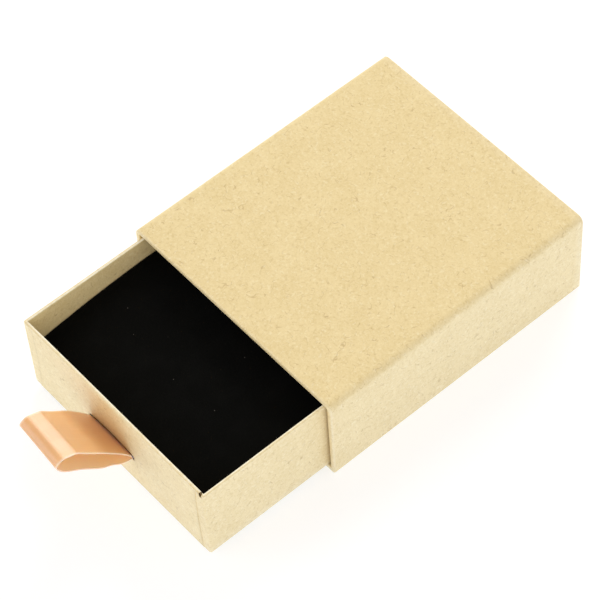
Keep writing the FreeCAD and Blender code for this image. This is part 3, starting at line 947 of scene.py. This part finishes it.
def kraft_material():
    """Warm kraft paper: cloudy pulp, a fine grain, short fibres, folds painted paler as rubbing
    and as a highlight, and cut edges painted darker as shade.
    """
    n = Nodes(bpy.data.materials.new("kraft paper"))
    place = n.place()
    clouds = n.noise(place, 9 * MM, detail=3, roughness=0.6)
    grain = n.noise(place, 0.55 * MM, detail=3, roughness=0.65)
    speck = n.noise(place, 1.6 * MM)
    tone = n.maths("ADD", n.spread(grain, -0.5, 0.5), n.spread(clouds, -0.3, 0.3))
    tone = n.maths("ADD", tone, n.spread(speck, -0.3, 0.3))
    base = n.mix(n.ramp(tone, -0.9, 0.9), KRAFT_DARK, KRAFT_LIGHT)
    for size, turn, thickness, fibre, strength in KRAFT_FIBRES:
        turned = n.stretched(place, (1, 1, 1), (turn, turn * 0.7, turn * 1.3))
        line = n.noise(turned, size, detail=1, roughness=0.4, distortion=0.6)
        line = n.maths("ABSOLUTE", n.maths("SUBTRACT", line, 0.5))
        patch = n.noise(turned, size * 0.45, detail=0)
        patch = n.ramp(patch, 0.52, 0.64, 0, strength)
        base = n.mix(n.maths("MULTIPLY", n.ramp(line, thickness, 0.0), patch), base, fibre)
    # Folds painted paler: partly rubbing, partly a painted highlight on their rounding
    rubbed_and_highlight = n.maths("MULTIPLY", n.attribute("fold"), n.ramp(speck, 0.35, 0.6, 0.5, 0.95))
    base = n.mix(rubbed_and_highlight, base, KRAFT_RUBBED_AND_HIGHLIGHT)
    # Cut edges painted darker: painted shade of the step at a paper's edge
    base = n.mix(n.maths("MULTIPLY", n.attribute("cut"), 0.35), base, KRAFT_EDGE_SHADE)
    normal = n.bumped(speck, 0.06 * MM, 0.6, n.bumped(grain, 0.05 * MM))
    return n.finish(base, normal, n.spread(clouds, 0.62, 0.72), Specular_IOR_Level=0.3)


def greyboard_material():
    """Grey-brown pulp board, with coarse flecks, a fuzzy surface, and cut edges painted dark
    brown as shade in the slit and the gap.
    """
    n = Nodes(bpy.data.materials.new("greyboard"))
    place = n.place()
    pulp = n.noise(place, 2.4 * MM, detail=4, roughness=0.65)
    fleck = n.noise(place, 0.5 * MM, detail=1)
    base = n.mix(n.spread(pulp), BOARD_DARK, BOARD_LIGHT)
    base = n.mix(n.ramp(fleck, 0.66, 0.74), base, BOARD_FLECK)
    # Cut edges painted dark brown: painted shade in the slit and the gap
    base = n.mix(n.attribute("cut"), base, BOARD_CUT_SHADE)
    return n.finish(base, n.bumped(pulp, 0.05 * MM), n.spread(pulp, 0.8, 0.92))


def flock_material():
    """Black flock: short dense fibres with a faint sheen, and a few pale specks of lint."""
    n = Nodes(bpy.data.materials.new("black flock"))
    place = n.place()
    nap = n.noise(place, 0.22 * MM, roughness=0.6)
    brushed = n.noise(place, 7 * MM, detail=3)
    base = n.mix(n.ramp(nap, 0.3, 0.75), FLOCK_DARK, FLOCK_LIGHT)
    base = n.mix(n.ramp(brushed, 0.45, 0.75, 0, 0.35), base, FLOCK_BRUSHED)
    cells = n.add("ShaderNodeTexVoronoi", {"Vector": place, "Scale": 1 / (4.2 * MM)})
    dot = n.ramp(cells.outputs["Distance"], 0.05, 0.03)
    rare = n.result("ShaderNodeSeparateColor", cells.outputs["Color"])
    base = n.mix(n.maths("MULTIPLY", dot, n.ramp(rare, 0.68, 0.69)), base, FLOCK_LINT)
    normal = n.bumped(nap, 0.12 * MM, 0.7)
    return n.finish(base, normal, n.spread(nap, 0.88, 0.98),
                    Sheen_Weight=0.01, Sheen_Roughness=0.5, Specular_IOR_Level=0.06)


def satin_material():
    """Peach satin: fine threads along the ribbon, a soft gloss, a duller back painted paler as
    light glowing through the loop, and pale woven edges."""
    n = Nodes(bpy.data.materials.new("satin ribbon"))
    place = n.place()
    threads = n.noise(n.stretched(place, (1, 0.02, 0.02)), 0.4 * MM, detail=1)
    streaks = n.noise(n.stretched(place, (1, 0.05, 0.05)), 0.9 * MM)
    tone = n.maths("ADD", n.spread(threads, 0, 0.5), n.spread(streaks, 0, 0.5))
    face = n.mix(tone, SATIN_DARK, SATIN_LIGHT)
    # Back painted paler: painted light glowing through the satin into the loop
    back = n.mix(tone, SATIN_BACK_GLOW_DARK, SATIN_BACK_GLOW_LIGHT)
    base = n.mix(n.attribute("reverse"), face, back)
    base = n.mix(n.maths("MULTIPLY", n.attribute("fold"), 0.6), base, SATIN_SELVEDGE)
    duller = n.maths("MULTIPLY", n.attribute("reverse"), 0.35)
    roughness = n.maths("ADD", n.spread(streaks, 0.36, 0.44), duller)
    return n.finish(base, n.bumped(streaks, 0.02 * MM, 0.3), roughness,
                    IOR=1.6, Specular_IOR_Level=1.0, Sheen_Weight=0.4, Sheen_Roughness=0.4,
                    Subsurface_Weight=0.55, Subsurface_Radius=(1.0, 0.6, 0.3),
                    Subsurface_Scale=2.0 * MM)


MATERIALS = {
    "kraft_paper": kraft_material(),
    "greyboard": greyboard_material(),
    "flock": flock_material(),
    "satin_ribbon": satin_material(),
}


def dress(piece, body, slot, *nodes):
    """Gives a piece its slot's material, and puts it on its body in place of its CAD nodes."""
    piece.data.materials.append(MATERIALS[slot])
    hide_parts(*nodes)
    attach(piece, body)


def paint(node, slot):
    """Gives a carried-over CAD node its slot's material."""
    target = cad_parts[node]
    if not target.material_slots:
        target.data.materials.append(MATERIALS[slot])
    for place in target.material_slots:
        place.material = MATERIALS[slot]


# The scene ------------------------------------------------------------------------------------

def add_camera():
    """Camera at the viewing angle."""
    azimuth, elevation, roll = (
        math.radians(v) for v in (CAMERA_AZIMUTH, CAMERA_ELEVATION, CAMERA_ROLL)
    )
    back = Vector((
        math.sin(azimuth) * math.cos(elevation),
        -math.cos(azimuth) * math.cos(elevation),
        math.sin(elevation),
    ))
    level_right = Vector((0, 0, 1)).cross(back).normalized()
    level_up = back.cross(level_right)
    right = level_right * math.cos(roll) - level_up * math.sin(roll)
    up = level_up * math.cos(roll) + level_right * math.sin(roll)
    lens = bpy.data.cameras.new("camera")
    lens.lens = CAMERA_LENS
    lens.sensor_width = CAMERA_SENSOR
    lens.clip_start = CAMERA_NEAREST
    camera = bpy.data.objects.new("camera", lens)
    turn = Matrix((right, up, back)).transposed().to_4x4()
    camera.matrix_world = Matrix.Translation(CAMERA_TARGET + back * CAMERA_DISTANCE) @ turn
    bpy.context.scene.collection.objects.link(camera)
    bpy.context.scene.camera = camera


def add_lamp(name, direction, distance, width, radiance, tint):
    """Round soft lamp in a direction from the box, facing it."""
    data = bpy.data.lights.new(name, "AREA")
    data.shape = "DISK"
    data.size = width
    data.color = tint
    data.energy = radiance * math.pi * (math.pi * (width / 2) ** 2)
    lamp = bpy.data.objects.new(name, data)
    towards = Vector(direction).normalized()
    lamp.location = CAMERA_TARGET + towards * distance
    lamp.rotation_euler = towards.to_track_quat("Z", "Y").to_euler()
    lamp.visible_camera = False
    bpy.context.scene.collection.objects.link(lamp)


def lit_or_seen(n, lit, seen):
    """The seen shader where the camera sees it, itself or in gloss, and else the lit one."""
    rays = n.add("ShaderNodeLightPath").outputs
    by_camera = rays["Is Camera Ray"]
    for kind in ("Is Glossy Ray", "Is Transmission Ray"):
        by_camera = n.maths("MAXIMUM", by_camera, rays[kind])
    return n.result("ShaderNodeMixShader", by_camera, lit, seen)


def add_floor():
    """Plain pale floor that shows white, keeps the box's shadow, and glows onto the box as
    painted light.
    """
    mesh = bpy.data.meshes.new("floor")
    corners = [
        (-FLOOR_REACH, -FLOOR_REACH, 0), (FLOOR_REACH, -FLOOR_REACH, 0),
        (FLOOR_REACH, FLOOR_REACH, 0), (-FLOOR_REACH, FLOOR_REACH, 0),
    ]
    mesh.from_pydata(corners, [], [(0, 1, 2, 3)])
    floor = bpy.data.objects.new("floor", mesh)
    bpy.context.scene.collection.objects.link(floor)
    n = Nodes(bpy.data.materials.new("floor"))
    n.tree.nodes.clear()
    bounce = n.result("ShaderNodeBsdfDiffuse", FLOOR_BOUNCE)
    # Painted light: the floor glows onto the box, though it is no lamp
    light = n.result("ShaderNodeEmission", FLOOR_GLOW_ONTO_BOX)
    shadow = n.result("ShaderNodeBsdfDiffuse", FLOOR_SHADOW)
    glow = n.add("ShaderNodeEmission", {"Strength": FLOOR_GLOW}).outputs[0]
    lit = n.result("ShaderNodeAddShader", bounce, light)
    seen = n.result("ShaderNodeAddShader", shadow, glow)
    n.add("ShaderNodeOutputMaterial", {"Surface": lit_or_seen(n, lit, seen)})
    mesh.materials.append(n.owner)


def add_world():
    """Soft light from all round, brighter near the floor, and pale where the camera sees it."""
    world = bpy.data.worlds.new("studio")
    bpy.context.scene.world = world
    n = Nodes(world)
    n.tree.nodes.clear()
    place = n.add("ShaderNodeTexCoord").outputs["Generated"]
    height = n.add("ShaderNodeSeparateXYZ", {"Vector": place}).outputs["Z"]
    lit = n.result("ShaderNodeBackground", n.mix(n.ramp(height, 0, 1), SKY_LOW, SKY_HIGH))
    seen = n.result("ShaderNodeBackground", SKY_SEEN)
    n.add("ShaderNodeOutputWorld", {"Surface": lit_or_seen(n, lit, seen)})


noise.seed_set(PAPER_WAVE_SEED)
bpy.context.scene.view_settings.view_transform = "Standard"
add_camera()
add_floor()
add_world()
for lamp in LAMPS:
    add_lamp(*lamp)

sleeve_wrap_paper()
sleeve_base_paper()
sleeve_back_sheet()
tray_wrap_paper()
end_sheet("tray_front_sheet", True, "tray_front_paper")
end_sheet("tray_back_sheet", False, "tray_back_paper")
tray_front_board()
insert_pad()
ribbon_pull()
for board in CAD_BOARDS:
    paint(board, "greyboard")
paint("ribbon_patch", "kraft_paper")
